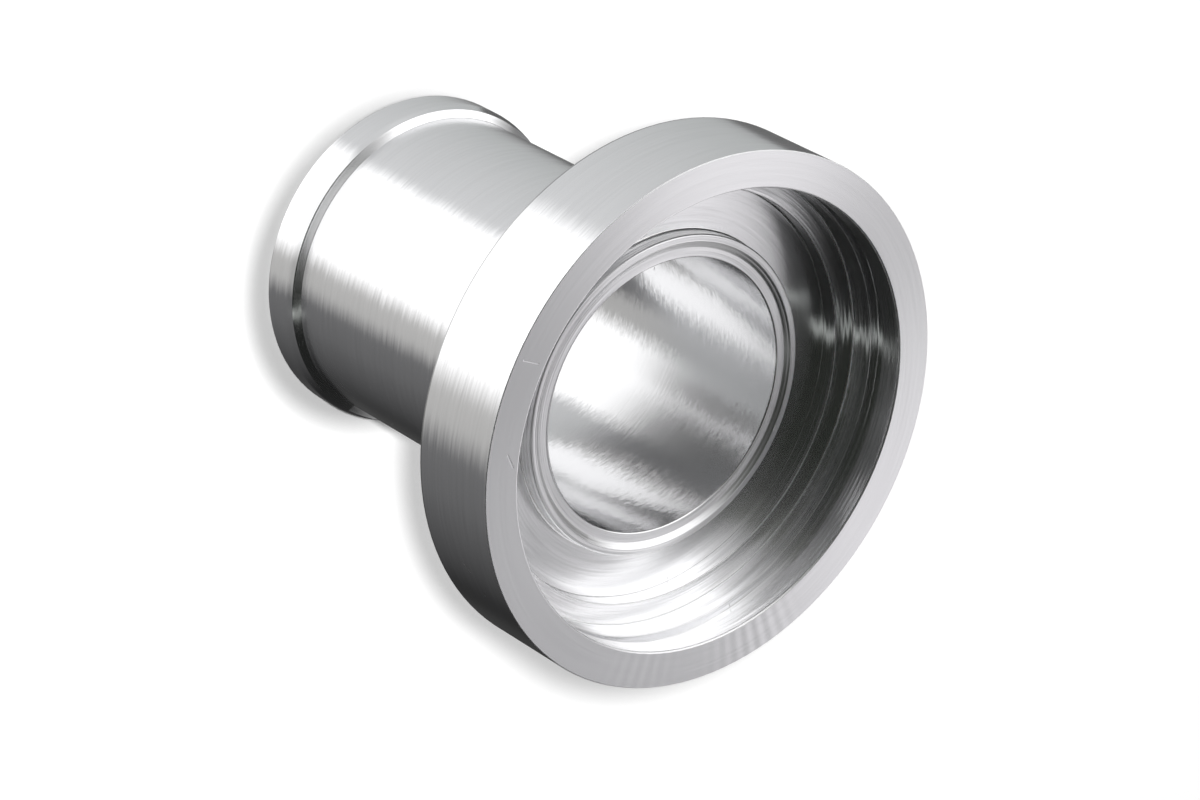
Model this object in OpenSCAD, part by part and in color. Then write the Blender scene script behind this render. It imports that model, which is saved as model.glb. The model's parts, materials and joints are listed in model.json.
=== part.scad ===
// Weld-on flange: one turned piece with a cup at the top, a raised seat ring in the cup's floor,
// and a long neck that ends in a hose bead.
// It stands on its bead end, with the mouth of the cup facing up.
// The origin is the centre of the bead end's face, and +Z runs along the axis to the mouth.

/* [Head] */
// Thickness of the rim round the cup's wall
rim_t = 4; // [3.2:0.1:8]
// Length of the head along the axis
head_l = 10.7; // [10.2:0.1:16]
// Thickness of the cup's floor, from the floor to the back of the head
floor_t = 1.3; // [0.8:0.1:1.8]

/* [Cup] */
// Diameter of the cup's wall
cup_d = 50; // [46:0.1:80]
// Depth of the land between the mouth and the ring groove
land_l = 2.7; // [1.5:0.1:3.2]
// Width of the ring groove along the axis
groove_w = 1.7; // [1:0.1:2.2]
// Depth of the ring groove into the wall
groove_depth = 1; // [0.4:0.1:2]
// Depth from the mouth at which the wall starts to taper
wall_l = 5.4; // [5:0.1:5.9]
// Length of the taper along the axis
taper_l = 1.7; // [0.8:0.1:1.9]
// How far the taper narrows the wall, measured on the radius
taper_step = 0.15; // [0.1:0.05:1.2]
// Width of the ledge under the taper, measured on the radius
ledge_w = 2.2; // [0.8:0.05:3]
// How far the ledge falls towards the well
ledge_fall = 0.2; // [0.1:0.1:0.7]

/* [Seat] */
// Width of the inner land, from the bore to the foot of the slope
seat_land_w = 1.1; // [0.4:0.05:2]
// Width of the slope from the inner land up to the crest
slope_w = 0.7; // [0.3:0.05:0.8]
// Width of the crest
crest_w = 0.75; // [0.4:0.05:0.9]
// Height of the seat ring's crest above the floor
seat_h = 1.7; // [1:0.1:3]
// Drop from the crest to the inner land
slope_drop = 0.3; // [0.2:0.05:0.9]

/* [Neck] */
// Diameter of the bore through the neck
bore_d = 30; // [20:0.1:33]
// Thickness of the neck's wall
neck_t = 2; // [1.2:0.1:3]
// Length of the neck between the head and the bead
neck_l = 37.4; // [15:0.1:80]
// Radius of the fillet where the neck meets the head
root_r = 2; // [0.5:0.1:4]

/* [Bead] */
// How far the hose bead stands out from the neck
bead_h = 1.15; // [0.9:0.05:2]
// Width of the hose bead along the axis
bead_w = 4.9; // [3:0.1:8]
// Length of the bead's crowned side, from its full width to the neck
crown_l = 1.3; // [0.9:0.1:1.6]
// How far the bead narrows over its crown, measured on the radius
crown_drop = 0.35; // [0.1:0.05:0.6]
// Length of the shoulder's slope along the axis
shoulder_l = 0.45; // [0.2:0.05:0.6]
// Radius of the bead's crown
crown_r = 2; // [1:0.1:3]
// Radius on the shoulder's edge
shoulder_r = 0.2; // [0.1:0.05:0.3]
// Radius on the bead's outer end edge
bead_edge_r = 0.8; // [0.3:0.1:1.1]
// Radius of the fillet at the foot of the bead's shoulder
foot_r = 0.1; // [0.05:0.05:0.3]
// Radius on the bore's edge at the bead end
end_r = 0.3; // [0.1:0.1:0.6]

/* [Edges] */
// Radius on the turned outer edges
edge_r = 0.1; // [0.05:0.05:0.2]
// Radius on the mouth's inner edge
mouth_r = 0.2; // [0.05:0.05:0.3]
// Radius that the tool's nose leaves in inner corners
nose_r = 0.15; // [0.1:0.05:0.4]
// Radius on the crest's outer edge
crest_r = 0.2; // [0.1:0.05:0.4]

/* [Hidden] */

$fn = 180;
// Straight steps that make up one rounded corner of the section
arc_steps = 5;
// The most of a side that the rounding of one corner may take
side_share = 0.48;

head_z = bead_w + neck_l;
face_z = head_z + head_l;

bore_r = bore_d / 2;
neck_r = bore_r + neck_t;
bead_r = neck_r + bead_h;
crown_z = bead_w - crown_l;
shoulder_z = bead_w - shoulder_l;

cup_r = cup_d / 2;
head_r = cup_r + rim_t;
groove_top_z = face_z - land_l;
groove_end_z = groove_top_z - groove_w;
taper_z = face_z - wall_l;
ledge_z = taper_z - taper_l;
ledge_r = cup_r - taper_step;
well_r = ledge_r - ledge_w;

floor_z = head_z + floor_t;
crest_z = floor_z + seat_h;
seat_land_z = crest_z - slope_drop;
seat_land_r = bore_r + seat_land_w;
crest_inner_r = seat_land_r + slope_w;
seat_r = crest_inner_r + crest_w;

// The section's corners, each as radius, height and the rounding of that corner
outside = [
    [bore_r, 0, end_r],
    [bead_r, 0, bead_edge_r],
    [bead_r, crown_z, crown_r],
    [bead_r - crown_drop, shoulder_z, shoulder_r],
    [neck_r, bead_w, foot_r],
    [neck_r, head_z, root_r],
    [head_r, head_z, edge_r],
    [head_r, face_z, edge_r],
];
cup_side = [
    [cup_r, face_z, mouth_r],
    [cup_r, groove_top_z, edge_r],
    [cup_r + groove_depth, groove_top_z, nose_r],
    [cup_r + groove_depth, groove_end_z, nose_r],
    [cup_r, groove_end_z, edge_r],
    [cup_r, taper_z, edge_r],
    [ledge_r, ledge_z, nose_r],
    [well_r, ledge_z - ledge_fall, edge_r],
    [well_r, floor_z, nose_r],
];
seat_side = [
    [seat_r, floor_z, nose_r],
    [seat_r, crest_z, crest_r],
    [crest_inner_r, crest_z, edge_r],
    [seat_land_r, seat_land_z, nose_r],
    [bore_r, seat_land_z, edge_r],
];
section = concat(outside, cup_side, seat_side);

function place(corner) = [corner[0], corner[1]];
function unit(v) = v / norm(v);
function turned(v, angle) = [v[0] * cos(angle) - v[1] * sin(angle), v[0] * sin(angle) + v[1] * cos(angle)];

// The points of one corner, rounded by an arc that touches both of its sides
function rounded(before, at, after, radius) =
    let (
        back = unit(before - at),
        ahead = unit(after - at),
        half = acos(back * ahead) / 2,
        room = side_share * min(norm(before - at), norm(after - at)),
        reach = min(radius / tan(half), room),
        arc_r = reach * tan(half),
        centre = at + unit(back + ahead) * arc_r / sin(half),
        start = at + back * reach - centre,
        side = sign(cross(back, ahead)),
        sweep = -side * (180 - 2 * half)
    )
    [for (i = [0:arc_steps]) centre + turned(start, sweep * i / arc_steps)];

// The whole section with every corner rounded
function outline(corners) =
    let (count = len(corners))
    [for (i = [0:count - 1])
        each rounded(
            place(corners[(i + count - 1) % count]),
            place(corners[i]),
            place(corners[(i + 1) % count]),
            corners[i][2]
        )
    ];

module weld_flange() {
    color([0.78, 0.79, 0.8])
        rotate_extrude()
            polygon(outline(section));
}

weld_flange();
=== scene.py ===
import json
import math

import bpy
from mathutils import Matrix, Vector


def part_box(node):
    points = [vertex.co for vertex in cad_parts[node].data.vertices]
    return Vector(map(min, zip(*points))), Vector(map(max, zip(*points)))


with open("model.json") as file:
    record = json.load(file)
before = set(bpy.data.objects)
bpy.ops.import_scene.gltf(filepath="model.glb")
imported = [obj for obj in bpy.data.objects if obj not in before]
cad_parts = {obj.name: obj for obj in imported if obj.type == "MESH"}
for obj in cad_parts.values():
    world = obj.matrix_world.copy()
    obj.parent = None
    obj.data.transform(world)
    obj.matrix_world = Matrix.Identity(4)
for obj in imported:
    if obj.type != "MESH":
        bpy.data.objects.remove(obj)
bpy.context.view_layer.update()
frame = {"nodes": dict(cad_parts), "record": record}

MM = 0.001

# Camera: it looks down at 45 degrees into the cup, and is rolled so that the axis runs to the lower
# right of the picture
CAMERA_PLACE = Vector((0, -342.6, 375.0)) * MM
CAMERA_AHEAD = Vector((0.00736, 0.71208, -0.70206)).normalized()
CAMERA_RIGHT = Vector((-0.48022, 0.61834, 0.62213)).normalized()
CAMERA_UP = CAMERA_RIGHT.cross(CAMERA_AHEAD)
LENS = 139.7
SENSOR = 36
NEAREST_SEEN = 10 * MM

# The flash sits just right of the lens and a little above it
FLASH_RIGHT = 18 * MM
FLASH_UP = 6 * MM
FLASH_R = 12 * MM
FLASH_STRENGTH = 4.7
WORLD_STRENGTH = 0.24

# The floor's own shade, the white that is added where the camera sees it, and its narrow contact
# shade. The shade lies on the side away from the flash, so it looks for the object along SHADE_SIDE,
# and it is full where no more than SHADE_FULL of what lies that way is open.
FLOOR_SIZE = 3.0
FLOOR_COLOUR = "CBCBCB"
FLOOR_WHITE = 0.43
FLOOR_SHADED_COLOUR = "B9B9B9"
SHADE_REACH = 3.5 * MM
SHADE_SIDE = (-0.87, 0.5, 1.0)
SHADE_FULL = 0.5
SHADE_SAMPLES = 16

# Heights and radii of the turned surfaces, from the record's mounts, the CAD box and the CAD section
flange = frame["nodes"]["weld_flange"]
mounts = {mount["name"]: mount for mount in frame["record"]["mounts"]}
FACE_Z = mounts["mouth_face"]["pos_m"][2]
HEAD_BACK_Z = mounts["head_back"]["pos_m"][2]
BORE_R = mounts["bore"]["dims"]["r_mm"] * MM
CUP_R = mounts["cup_wall"]["dims"]["r_mm"] * MM
SEAT_R = 17.55 * MM
LEDGE_R = 24.85 * MM
LEDGE_Z = 45.9 * MM
WELL_R = 22.65 * MM
WELL_TOP_Z = 45.7 * MM
CUP_FLOOR_Z = 43.6 * MM
HEAD_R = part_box("weld_flange")[1].x

# Settings of the nodes that are used most
ADD = {"operation": "ADD"}
MULTIPLY = {"operation": "MULTIPLY"}
SCALE = {"operation": "SCALE"}
LENGTH = {"operation": "LENGTH"}
UNIT_LENGTH = {"operation": "NORMALIZE"}
ANGLE = {"operation": "ARCTAN2"}


def hex_colour(code):
    """sRGB hex to the linear colour that a material holds."""
    parts = [int(code[i:i + 2], 16) / 255 for i in (0, 2, 4)]
    return [c / 12.92 if c < 0.04045 else ((c + 0.055) / 1.055) ** 2.4 for c in parts] + [1.0]


def new_material(name):
    material = bpy.data.materials.new(name)
    material.use_nodes = True
    material.node_tree.nodes.clear()
    return material


def add(tree, kind, settings=None, **links):
    """Adds a node. Settings go to its attributes, or to the input of that name or number. Links feed
    the input of that name, with _ for a space, or of that number after an i. A link is a socket, or
    a node, which gives its first output."""
    made = tree.nodes.new("ShaderNode" + kind)
    for key, value in (settings or {}).items():
        if isinstance(key, str) and hasattr(made, key):
            setattr(made, key, value)
        else:
            made.inputs[key].default_value = value
    for key, source in links.items():
        is_number = key[0] == "i" and key[1:].isdigit()
        target = made.inputs[int(key[1:])] if is_number else made.inputs[key.replace("_", " ")]
        feed = source.outputs[0] if hasattr(source, "outputs") else source
        tree.links.new(feed, target)
    return made


# Turned aluminium: a lathe tool leaves fine grooves round the axis. They stretch every reflection
# along the axis into bands, so the metal is anisotropic across the grooves. The bands' ends are
# ragged, because each groove is cut a little differently from the next. The bore is rubbed smooth,
# which blurs them most, and its colour is painted a little greyer, as painted shade inside the bore.
METAL_LIGHT = "F5F5F6"
METAL_DARK = "F1F1F2"
# Painted shade: the bore's colour is a little darker, as shade inside it
BORE_PAINTED_SHADE_COLOUR = "E9E9EA"
ROUGHNESS = {"outside": 0.19, "cup": 0.16, "floor": 0.17, "seat": 0.28, "bore": 0.16, "edge": 0.45}
STRETCH = {"outside": 0.85, "cup": 0.95, "floor": 0.95, "seat": 0.7, "bore": 0.9, "edge": 0.1}
# A quarter turn from the way round the axis lays the stretch across the grooves
STRETCH_TURN = 0.25

# The grooves' width, the way round before one changes, and their depth in mm. They catch the light as
# thin lines. Real feed marks are about 0.05 mm apart, too fine to show, so they are drawn coarser.
GROOVE_MM = 0.3
GROOVE_ROUND_MM = 30
GROOVE_DEEP_MM = {"outside": 0.0008, "cup": 0.022, "floor": 0.005, "seat": 0.07, "bore": 0.002,
                  "face": 0.0005}

# The small turn of the surface from groove to groove, which gives the bands their ragged ends
RAGGED_MM = 0.3
RAGGED_ROUND_MM = 9
RAGGED_TURN = {"outside": 0.08, "cup": 0.15, "floor": 0.06, "seat": 0.1, "bore": 0.05, "face": 0.012}

# The grain of the rubbed bore, which makes its bands soft. It is drawn coarser than the real one, which
# is too fine to show.
GRAIN_MM = 0.25
GRAIN_ROUND_MM = 0.8
GRAIN_TURN = {"outside": 0, "bore": 0.1}

# Faint lighter and darker streaks along the grooves
STREAK_MM = 0.3
STREAK_ROUND_MM = 16
STREAK_DARK_BELOW = 0.3
STREAK_LIGHT_ABOVE = 0.6
STREAK_DETAIL = 3.0

# The noise behind all these marks
TOOL_MARK_DETAIL = 1.0
NOISE_ROUGHNESS = 0.6
NOISE_MIDDLE = 0.5

# Chatter of the tool: short ripples across one side of the mouth's face, between two angles in radians
CHATTER_PER_TURN = 112
CHATTER_TURN = 0.032
CHATTER_START = 0.2
CHATTER_END = 1.0
CHATTER_FADE = 0.12

# The sharp edges are rubbed dull where their burr was taken off, and along the head's rear edge a grey
# line of painted shade stands for the shade on its small edge break
EDGE_REACH = 0.13 * MM
EDGE_FULL = 0.6 * EDGE_REACH
REAR_EDGE_PAINTED_SHADE = "B0B0B0"
REAR_EDGE_PAINTED_SHADE_BAND = 0.22 * MM
SHARP_EDGES = [(HEAD_R, FACE_Z), (HEAD_R, HEAD_BACK_Z), (CUP_R, FACE_Z), (LEDGE_R, LEDGE_Z),
               (WELL_R, WELL_TOP_Z)]

# Where each finish lies: the radius, height or angle that it keeps to, as its lowest and highest value
# and the softness of both ends. Each reaches a little past its surface, so that the surface is covered
# whole, and the cup's reaches past its ring groove. A later zone covers those before it.
NO_LIMIT = 1
CUP_ZONE = [("radius", -NO_LIMIT, CUP_R + 1.5 * MM, 0.2 * MM),
            ("height", HEAD_BACK_Z + 1 * MM, FACE_Z - 0.2 * MM, 0.05 * MM)]
FLOOR_ZONE = [("radius", SEAT_R + 0.1 * MM, WELL_R + 0.2 * MM, 0.05 * MM),
              ("height", -NO_LIMIT, CUP_FLOOR_Z + 0.1 * MM, 0.05 * MM)]
SEAT_ZONE = [("radius", BORE_R + 0.1 * MM, SEAT_R + 0.1 * MM, 0.05 * MM),
             ("height", CUP_FLOOR_Z + 0.2 * MM, FACE_Z - 7 * MM, 0.05 * MM)]
BORE_ZONE = [("radius", -NO_LIMIT, BORE_R + 0.03 * MM, 0.02 * MM)]
FACE_ZONE = [("height", FACE_Z - 0.02 * MM, NO_LIMIT, 0.01 * MM)]
CHATTER_ZONE = [("angle", CHATTER_START, CHATTER_END, CHATTER_FADE)] + FACE_ZONE
# Where the painted shade of the head's rear edge lies
REAR_EDGE_PAINTED_SHADE_ZONE = [("radius", HEAD_R - 0.3 * MM, NO_LIMIT, 0.05 * MM),
                  ("height", HEAD_BACK_Z - 0.05 * MM, HEAD_BACK_Z + REAR_EDGE_PAINTED_SHADE_BAND, 0.04 * MM)]

# Small nicks and scratches, each from one place to another in mm
MARK_REACH = 0.12 * MM
MARK_DEEP_MM = 0.012
MARKS = [
    ((24.1, -16.1, 47.2), (24.6, -15.4, 48.0)), ((25.9, -12.9, 48.8), (26.0, -12.8, 48.9)),
    ((-16.4, -24.0, 52.6), (-16.2, -24.1, 52.6)), ((-19.6, -21.4, 52.7), (-19.9, -21.1, 52.7)),
    ((10.6, -27.0, 53.0), (10.9, -26.8, 52.9)), ((-7.5, 23.9, 52.8), (-7.1, 24.0, 52.9)),
    ((-16.9, 18.4, 52.7), (-16.7, 18.6, 52.8)), ((3.5, -27.8, 53.0), (3.1, -25.9, 53.0)),
    ((12.4, -23.5, 53.0), (13.2, -22.1, 53.0)), ((-11.5, 9.6, 25.4), (-11.3, 9.9, 25.2)),
    ((-2.9, 16.5, 45.3), (-2.5, 16.6, 45.3)), ((-8.2, -14.4, 45.2), (-7.9, -14.5, 45.2)),
    ((16.5, 15.0, 43.6), (16.6, 15.1, 43.6)), ((15.9, 20.0, 48.6), (16.0, 20.1, 48.6)),
]


def turned_aluminium():
    material = new_material("turned_aluminium")
    tree = material.node_tree
    place = add(tree, "TexCoord").outputs["Object"]
    x, y, z = add(tree, "SeparateXYZ", Vector=place).outputs
    flat = add(tree, "CombineXYZ", X=x, Y=y)
    radius = add(tree, "VectorMath", LENGTH, i0=flat).outputs["Value"]
    angle = add(tree, "Math", ANGLE, i0=y, i1=x)
    along = add(tree, "Math", ADD, i0=radius, i1=z)
    measures = {"radius": radius, "height": z, "angle": angle}

    def inside(limits):
        """1 where every limit is kept, with soft ends, and 0 elsewhere."""
        kept = None
        for measure, low, high, soft in limits:
            rise = add(tree, "MapRange", {"From Min": low - soft, "From Max": low + soft},
                       Value=measures[measure])
            fall = add(tree, "MapRange", {"From Min": high + soft, "From Max": high - soft},
                       Value=measures[measure])
            both = add(tree, "Math", MULTIPLY, i0=rise, i1=fall)
            kept = both if kept is None else add(tree, "Math", MULTIPLY, i0=kept, i1=both)
        return kept

    def near_circle(r, height):
        """1 on the circle at that radius and height, falling to 0 at EDGE_REACH from it."""
        outward = add(tree, "Math", {"operation": "SUBTRACT", 1: r}, i0=radius)
        upward = add(tree, "Math", {"operation": "SUBTRACT", 1: height}, i0=z)
        apart = add(tree, "CombineXYZ", X=outward, Y=upward)
        apart = add(tree, "VectorMath", LENGTH, i0=apart).outputs["Value"]
        return add(tree, "MapRange", {"From Min": EDGE_REACH, "From Max": EDGE_FULL}, Value=apart)

    def near_mark(start, end):
        """1 on the line between the two places, falling to 0 at MARK_REACH from it."""
        first = Vector(start) * MM
        run = Vector(end) * MM - first
        off = add(tree, "VectorMath", {"operation": "SUBTRACT", 1: first}, i0=place)
        share = add(tree, "VectorMath", {"operation": "DOT_PRODUCT", 1: run / run.length_squared},
                    i0=off).outputs["Value"]
        share = add(tree, "Clamp", Value=share)
        nearest = add(tree, "VectorMath", {"operation": "SCALE", 0: run}, Scale=share)
        apart = add(tree, "VectorMath", {"operation": "DISTANCE"}, i0=off, i1=nearest).outputs["Value"]
        return add(tree, "MapRange", {"From Min": MARK_REACH, "From Max": 0.0}, Value=apart)

    def any_of(masks):
        """The highest of the masks."""
        highest = masks[0]
        for mask in masks[1:]:
            highest = add(tree, "Math", {"operation": "MAXIMUM"}, i0=highest, i1=mask)
        return highest

    edges = any_of([near_circle(r, height) for r, height in SHARP_EDGES])
    marks = any_of([near_mark(start, end) for start, end in MARKS])
    zones = {
        "cup": inside(CUP_ZONE),
        "floor": inside(FLOOR_ZONE),
        "seat": inside(SEAT_ZONE),
        "bore": inside(BORE_ZONE),
        "face": inside(FACE_ZONE),
        "edge": any_of([edges, marks]),
    }

    def by_zone(values):
        """The outside's value, with each other zone's own value laid over it."""
        mixed = None
        for part, mask in zones.items():
            if part in values:
                under = {} if mixed is None else {"A": mixed}
                mixed = add(tree, "Mix", {"data_type": "FLOAT", "A": values["outside"],
                                          "B": values[part]}, i0=mask, **under)
        return mixed

    def tool_marks(wide_mm, long_mm, detail):
        """Uneven marks from 0 to 1, wide_mm across the grooves and long_mm along them."""
        across = add(tree, "Math", {"operation": "MULTIPLY", 1: 1 / (wide_mm * MM)}, i0=along)
        across = add(tree, "CombineXYZ", Z=across)
        way_round = add(tree, "VectorMath", {"operation": "SCALE", "Scale": 1 / (long_mm * MM)}, i0=flat)
        spot = add(tree, "VectorMath", ADD, i0=way_round, i1=across)
        return add(tree, "TexNoise", {"Scale": 1.0, "Detail": detail, "Roughness": NOISE_ROUGHNESS},
                   Vector=spot)

    def uneven_turn(wide_mm, long_mm, turns):
        """How far the surface is turned round the axis at each mark, to one side or the other."""
        side = add(tree, "Math", {"operation": "SUBTRACT", 1: NOISE_MIDDLE},
                   i0=tool_marks(wide_mm, long_mm, TOOL_MARK_DETAIL))
        return add(tree, "Math", MULTIPLY, i0=side, i1=by_zone(turns))

    grooves = add(tree, "Math", MULTIPLY, i0=tool_marks(GROOVE_MM, GROOVE_ROUND_MM, TOOL_MARK_DETAIL),
                  i1=by_zone(GROOVE_DEEP_MM))
    relief = add(tree, "Math", {"operation": "MULTIPLY_ADD", 1: -MARK_DEEP_MM}, i0=marks, i2=grooves)

    uneven = add(tree, "Math", ADD, i0=uneven_turn(RAGGED_MM, RAGGED_ROUND_MM, RAGGED_TURN),
                 i1=uneven_turn(GRAIN_MM, GRAIN_ROUND_MM, GRAIN_TURN))
    way_round = add(tree, "VectorMath", {"operation": "CROSS_PRODUCT", 0: (0, 0, 1)}, i1=flat)
    way_round = add(tree, "VectorMath", UNIT_LENGTH, i0=way_round)
    turn = add(tree, "VectorMath", SCALE, i0=way_round, Scale=uneven)

    wave = add(tree, "Math", {"operation": "MULTIPLY", 1: CHATTER_PER_TURN}, i0=angle)
    wave = add(tree, "Math", {"operation": "SINE"}, i0=wave)
    chatter = add(tree, "Math", MULTIPLY, i0=wave, i1=inside(CHATTER_ZONE))
    chatter = add(tree, "Math", {"operation": "MULTIPLY", 1: CHATTER_TURN}, i0=chatter)
    outward = add(tree, "VectorMath", UNIT_LENGTH, i0=flat)
    ripple = add(tree, "VectorMath", SCALE, i0=outward, Scale=chatter)

    tilted = add(tree, "NewGeometry").outputs["Normal"]
    tilted = add(tree, "VectorMath", ADD, i0=tilted, i1=turn)
    tilted = add(tree, "VectorMath", ADD, i0=tilted, i1=ripple)
    tilted = add(tree, "VectorMath", UNIT_LENGTH, i0=tilted)
    bump = add(tree, "Bump", {"Strength": 1.0, "Distance": MM}, Height=relief, Normal=tilted)

    streaks = add(tree, "MapRange", {"From Min": STREAK_DARK_BELOW, "From Max": STREAK_LIGHT_ABOVE},
                  Value=tool_marks(STREAK_MM, STREAK_ROUND_MM, STREAK_DETAIL))
    colour = add(tree, "Mix", {"data_type": "RGBA", "A": hex_colour(METAL_DARK),
                               "B": hex_colour(METAL_LIGHT)}, i0=streaks).outputs[2]
    # Painted shade: the bore and the head's rear edge are given darker colours here
    for shade, mask in ((BORE_PAINTED_SHADE_COLOUR, zones["bore"]), (REAR_EDGE_PAINTED_SHADE, inside(REAR_EDGE_PAINTED_SHADE_ZONE))):
        colour = add(tree, "Mix", {"data_type": "RGBA", "B": hex_colour(shade)}, i0=mask,
                     A=colour).outputs[2]

    tangent = add(tree, "Tangent", {"direction_type": "RADIAL", "axis": "Z"})
    metal = add(tree, "BsdfPrincipled", {"Metallic": 1.0, "Anisotropic Rotation": STRETCH_TURN},
                Base_Color=colour, Roughness=by_zone(ROUGHNESS), Anisotropic=by_zone(STRETCH),
                Normal=bump, Tangent=tangent)
    add(tree, "OutputMaterial", Surface=metal)
    return material


flange.data.materials.clear()
flange.data.materials.append(turned_aluminium())


# The studio: a white floor, an even light from all round, and a tent whose panels only show in the metal
def white_floor():
    """Matt white paper: it has no gloss, so it gives the eye nothing but its shade and the shadow."""
    bpy.ops.mesh.primitive_plane_add(size=FLOOR_SIZE)
    floor = bpy.context.object
    floor.name = "floor"
    material = new_material("matt_white_paper")
    tree = material.node_tree
    side = add(tree, "VectorMath", {"operation": "NORMALIZE", 0: SHADE_SIDE})
    near = add(tree, "AmbientOcclusion", {"Distance": SHADE_REACH, "samples": SHADE_SAMPLES}, Normal=side)
    shade = add(tree, "MapRange", {"From Min": SHADE_FULL}, Value=near.outputs["AO"])
    tone = add(tree, "Mix", {"data_type": "RGBA", "A": hex_colour(FLOOR_SHADED_COLOUR),
                             "B": hex_colour(FLOOR_COLOUR)}, i0=shade).outputs[2]
    paper = add(tree, "BsdfDiffuse", Color=tone)
    white = add(tree, "Math", {"operation": "MULTIPLY", 1: FLOOR_WHITE}, i0=shade)
    seen = add(tree, "LightPath").outputs["Is Camera Ray"]
    backdrop = add(tree, "Math", MULTIPLY, i0=seen, i1=white)
    glow = add(tree, "Emission", {"Color": hex_colour("FFFFFF")}, Strength=backdrop)
    add(tree, "OutputMaterial", Surface=add(tree, "AddShader", i0=paper, i1=glow))
    floor.data.materials.append(material)
    floor.visible_glossy = False


def flash():
    """A small lamp beside the lens. It throws the narrow shadow that lies along the object's left side."""
    lamp = bpy.data.lights.new("flash", "POINT")
    lamp.shadow_soft_size = FLASH_R
    lamp.use_nodes = True
    tree = lamp.node_tree
    tree.nodes.clear()
    even = add(tree, "LightFalloff", {"Strength": FLASH_STRENGTH})
    shine = add(tree, "Emission", Strength=even.outputs["Constant"])
    add(tree, "OutputLight", Surface=shine)
    made = bpy.data.objects.new("flash", lamp)
    bpy.context.scene.collection.objects.link(made)
    made.location = CAMERA_PLACE + CAMERA_RIGHT * FLASH_RIGHT + CAMERA_UP * FLASH_UP
    made.visible_glossy = False


# Panels of the tent, each as its first and last angle round the mirror direction of the mouth's face,
# its strength at both, and its tint. The lower half and the upper half each have panels near that
# direction and panels further from it.
LOWER_NEAR_PANELS = [
    (-180, -164, 0.12, 0.15, "FFFFFF"), (-156, -120, 0.25, 0.12, "FFFFFF"),
    (-110, -92, 0.5, 0.5, "FFFFFF"), (-80, 6, 0.2, 0.03, "FFFFFF"),
    (20, 140, 0.8, 0.75, "FFFFFF"), (155, 172, 0.3, 0.12, "FFFFFF"),
]
LOWER_PANELS = [
    (-180, -165, 0.1, 0.13, "FFFFFF"), (-163, -150, 0.48, 0.51, "FCFFFF"),
    (-114, -113.5, 0.7, 0.71, "FDFEFF"), (-107, -78, 1.5, 1.5, "FFFFFF"),
    (-70, -63.5, 0.52, 0.49, "FFFEFC"), (-57.5, -48, 0.16, 0.135, "FDFDFF"),
    (-44, -24, 0.115, 0.033, "FDFDFF"), (-18, 4, 0.018, 0.025, "FFFFFF"),
    (10, 20, 0.6, 0.85, "FFFFFF"), (30, 150, 0.85, 0.85, "FFFFFF"),
    (165, 180, 0.6, 0.2, "FFFFFF"),
]
FACE_PANELS = [
    (-180, -165, 0.87, 0.92, "FEFCFF"), (-150, -135, 0.82, 0.46, "FEFCFF"),
    (-110, -75, 0.31, 0.2, "FDFDFF"), (-60, -30, 0.26, 0.38, "FDFDFF"),
    (0, 25, 0.44, 0.46, "FDFCFF"), (48, 75, 0.94, 1.12, "FEFCFF"),
    (90, 120, 1.1, 1.06, "FEFCFF"), (135, 165, 1.04, 0.56, "FEFDFF"),
]
WALL_PANELS = [
    (-180, -175, 0.35, 0.6, "FFFFFF"), (-168, -130, 1.4, 1.5, "FFFFFF"),
    (-123, -116, 0.8, 0.45, "FFFFFF"), (-108, -98, 0.15, 0.06, "FCFFF8"),
    (-85, -54, 0.03, 0.02, "F4FFEE"), (-52, -51.4, 0.5, 0.5, "FAFFFA"),
    (-49.6, -4, 0.015, 0.015, "FBFFFB"), (10, 34, 0.3, 0.45, "FFFFFF"),
    (43, 66, 1.15, 0.95, "FFFFFF"), (77, 170, 0.25, 0.22, "FFFFFF"),
]
BRIGHTEST = 1.5
TENT_R = 0.8
TENT_SEGMENTS = 64
TENT_RINGS = 32
TENT_CENTRE = Vector((0, 0, 0.03))
MIRROR_Y = 0.712
# Where the near panels give way to the far ones, as distances from the mirror direction, and where the
# lower half gives way to the upper one
LOWER_BLEND = (0.3, 0.55)
UPPER_BLEND = (0.16, 0.42)
HORIZON_BLEND = (-0.1, 0.1)


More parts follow.
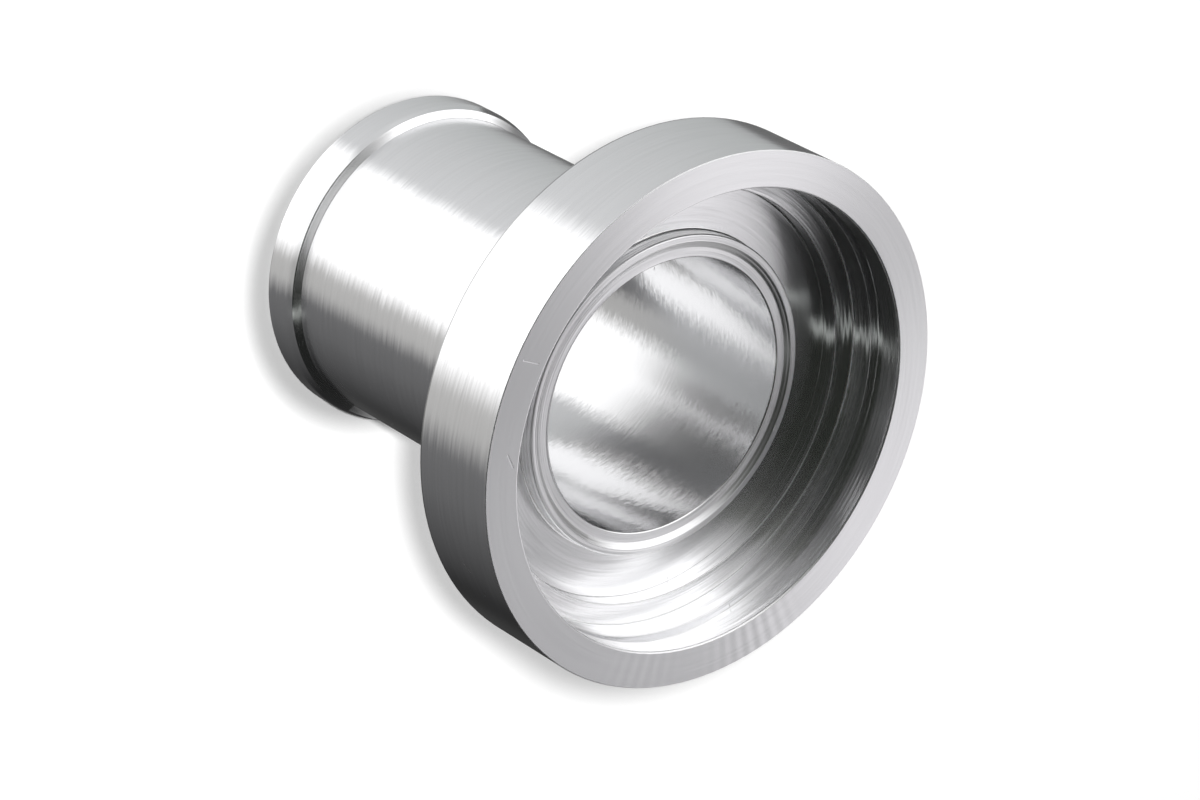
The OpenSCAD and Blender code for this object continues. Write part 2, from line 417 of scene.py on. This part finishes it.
def light_tent():
    """White cloth lit from behind, with dark gaps, which the metal mirrors as its light and dark bands."""
    bpy.ops.mesh.primitive_uv_sphere_add(segments=TENT_SEGMENTS, ring_count=TENT_RINGS, radius=TENT_R,
                                         location=TENT_CENTRE)
    tent = bpy.context.object
    tent.name = "light_tent"
    material = new_material("light_tent_panels")
    tree = material.node_tree
    place = add(tree, "TexCoord").outputs["Object"]
    x, y, z = add(tree, "SeparateXYZ", Vector=add(tree, "VectorMath", UNIT_LENGTH, i0=place)).outputs
    beyond = add(tree, "Math", {"operation": "SUBTRACT", 1: MIRROR_Y}, i0=y)
    angle = add(tree, "Math", ANGLE, i0=beyond, i1=x)
    turn = add(tree, "MapRange", {"From Min": -math.pi, "From Max": math.pi}, Value=angle)
    apart = add(tree, "CombineXYZ", X=x, Y=beyond)
    reach = add(tree, "VectorMath", LENGTH, i0=apart).outputs["Value"]

    def tones(panels):
        """The panels' light at each angle, going evenly from one panel to the next."""
        ramp = add(tree, "ValToRGB", Fac=turn)
        stops = []
        for first, last, start, end, tint in panels:
            stops += [(first, start, tint), (last, end, tint)]
        steps = ramp.color_ramp.elements
        while len(steps) < len(stops):
            steps.new(1.0)
        for step, (degrees, level, tint) in zip(steps, stops):
            step.position = (degrees + 180) / 360
            step.color = [level / BRIGHTEST * part for part in hex_colour(tint)[:3]] + [1.0]
        return ramp

    def blend(measure, limits, first, second):
        """The first light up to the lower limit, the second from the higher one, a mix between."""
        share = add(tree, "MapRange", {"From Min": limits[0], "From Max": limits[1]}, Value=measure)
        return add(tree, "Mix", {"data_type": "RGBA"}, i0=share, A=first, B=second).outputs[2]

    lower = blend(reach, LOWER_BLEND, tones(LOWER_NEAR_PANELS), tones(LOWER_PANELS))
    upper = blend(reach, UPPER_BLEND, tones(FACE_PANELS), tones(WALL_PANELS))
    light = add(tree, "Emission", {"Strength": BRIGHTEST}, Color=blend(z, HORIZON_BLEND, lower, upper))
    add(tree, "OutputMaterial", Surface=light)
    tent.data.materials.append(material)
    tent.visible_camera = False
    tent.visible_diffuse = False
    tent.visible_transmission = False
    tent.visible_volume_scatter = False
    tent.visible_shadow = False


def even_light():
    world = bpy.data.worlds.new("even_light")
    bpy.context.scene.world = world
    world.use_nodes = True
    background = world.node_tree.nodes["Background"]
    background.inputs["Color"].default_value = hex_colour("FFFFFF")
    background.inputs["Strength"].default_value = WORLD_STRENGTH


def camera():
    made = bpy.data.objects.new("camera", bpy.data.cameras.new("camera"))
    bpy.context.scene.collection.objects.link(made)
    turn = Matrix((CAMERA_RIGHT, CAMERA_UP, -CAMERA_AHEAD)).transposed().to_4x4()
    made.matrix_world = Matrix.Translation(CAMERA_PLACE) @ turn
    made.data.lens = LENS
    made.data.sensor_width = SENSOR
    made.data.clip_start = NEAREST_SEEN
    bpy.context.scene.camera = made


white_floor()
light_tent()
even_light()
flash()
camera()
bpy.context.scene.view_settings.view_transform = "Standard"
